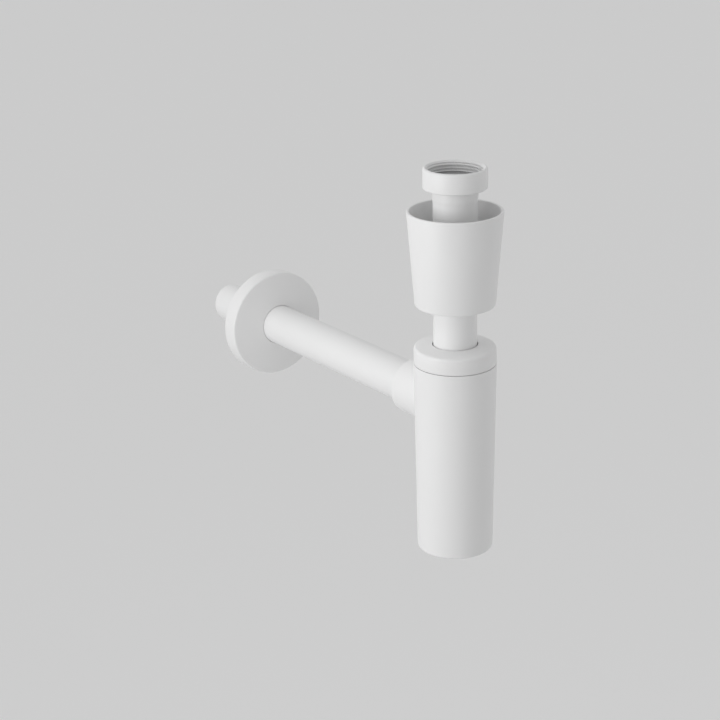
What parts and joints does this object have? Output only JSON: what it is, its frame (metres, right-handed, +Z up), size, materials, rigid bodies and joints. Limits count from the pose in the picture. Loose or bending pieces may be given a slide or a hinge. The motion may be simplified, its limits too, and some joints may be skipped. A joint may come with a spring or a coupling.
{
  "type": "basin trap",
  "caption": "White plastic dip-tube basin trap: union nut, cover cup on the tube, tapered body with screw cap, side outlet pipe and wall escutcheon.",
  "frame": {"origin": "on the inlet axis, in the plane at the mouth of the union nut where its thread begins", "axes": "+Z up along the inlet out of the nut's mouth; +Y out along the outlet pipe towards the wall; +X to the right seen from the front (-Y)"},
  "size_m": [0.0872, 0.3457, 0.294],
  "materials": {
    "white_plastic": "satin white polypropylene",
    "seal_rubber": "matt pale grey rubber"
  },
  "bodies": {
    "nut": {"inlet_nut": "white_plastic"},
    "tube": {"dip_tube": "white_plastic", "inlet_seal": "seal_rubber"},
    "cup": {"cover_cup": "white_plastic"},
    "cap": {"trap_cap": "white_plastic", "cap_slip_ring": "white_plastic", "cap_lip_seal": "seal_rubber"},
    "trap": {"trap_body": "white_plastic", "socket_lip_seal": "seal_rubber"},
    "outlet": {"outlet_pipe": "white_plastic"},
    "wall_cover": {"wall_escutcheon": "white_plastic"}
  },
  "joints": [
    {"name": "nut_turn", "type": "hinge", "parent": "nut", "child": "tube", "pos_m": [0, 0, 0], "axis": [0, 0, 1], "continuous": true},
    {"name": "cup_slide", "type": "slide", "parent": "tube", "child": "cup", "axis": [0, 0, 1], "range_m": [-0.012, 0.068]},
    {"name": "trap_height", "type": "slide", "parent": "tube", "child": "cap", "axis": [0, 0, 1], "range_m": [-0.09, 0.018]},
    {"name": "cap_turn", "type": "hinge", "parent": "cap", "child": "trap", "pos_m": [0, 0, -0.14], "axis": [0, 0, 1], "continuous": true},
    {"name": "pipe_slide", "type": "slide", "parent": "trap", "child": "outlet", "axis": [0, 1, 0], "range_m": [0, 0.018]},
    {"name": "wall_cover_slide", "type": "slide", "parent": "outlet", "child": "wall_cover", "axis": [0, 1, 0], "range_m": [-0.18, 0.058]}
  ]
}
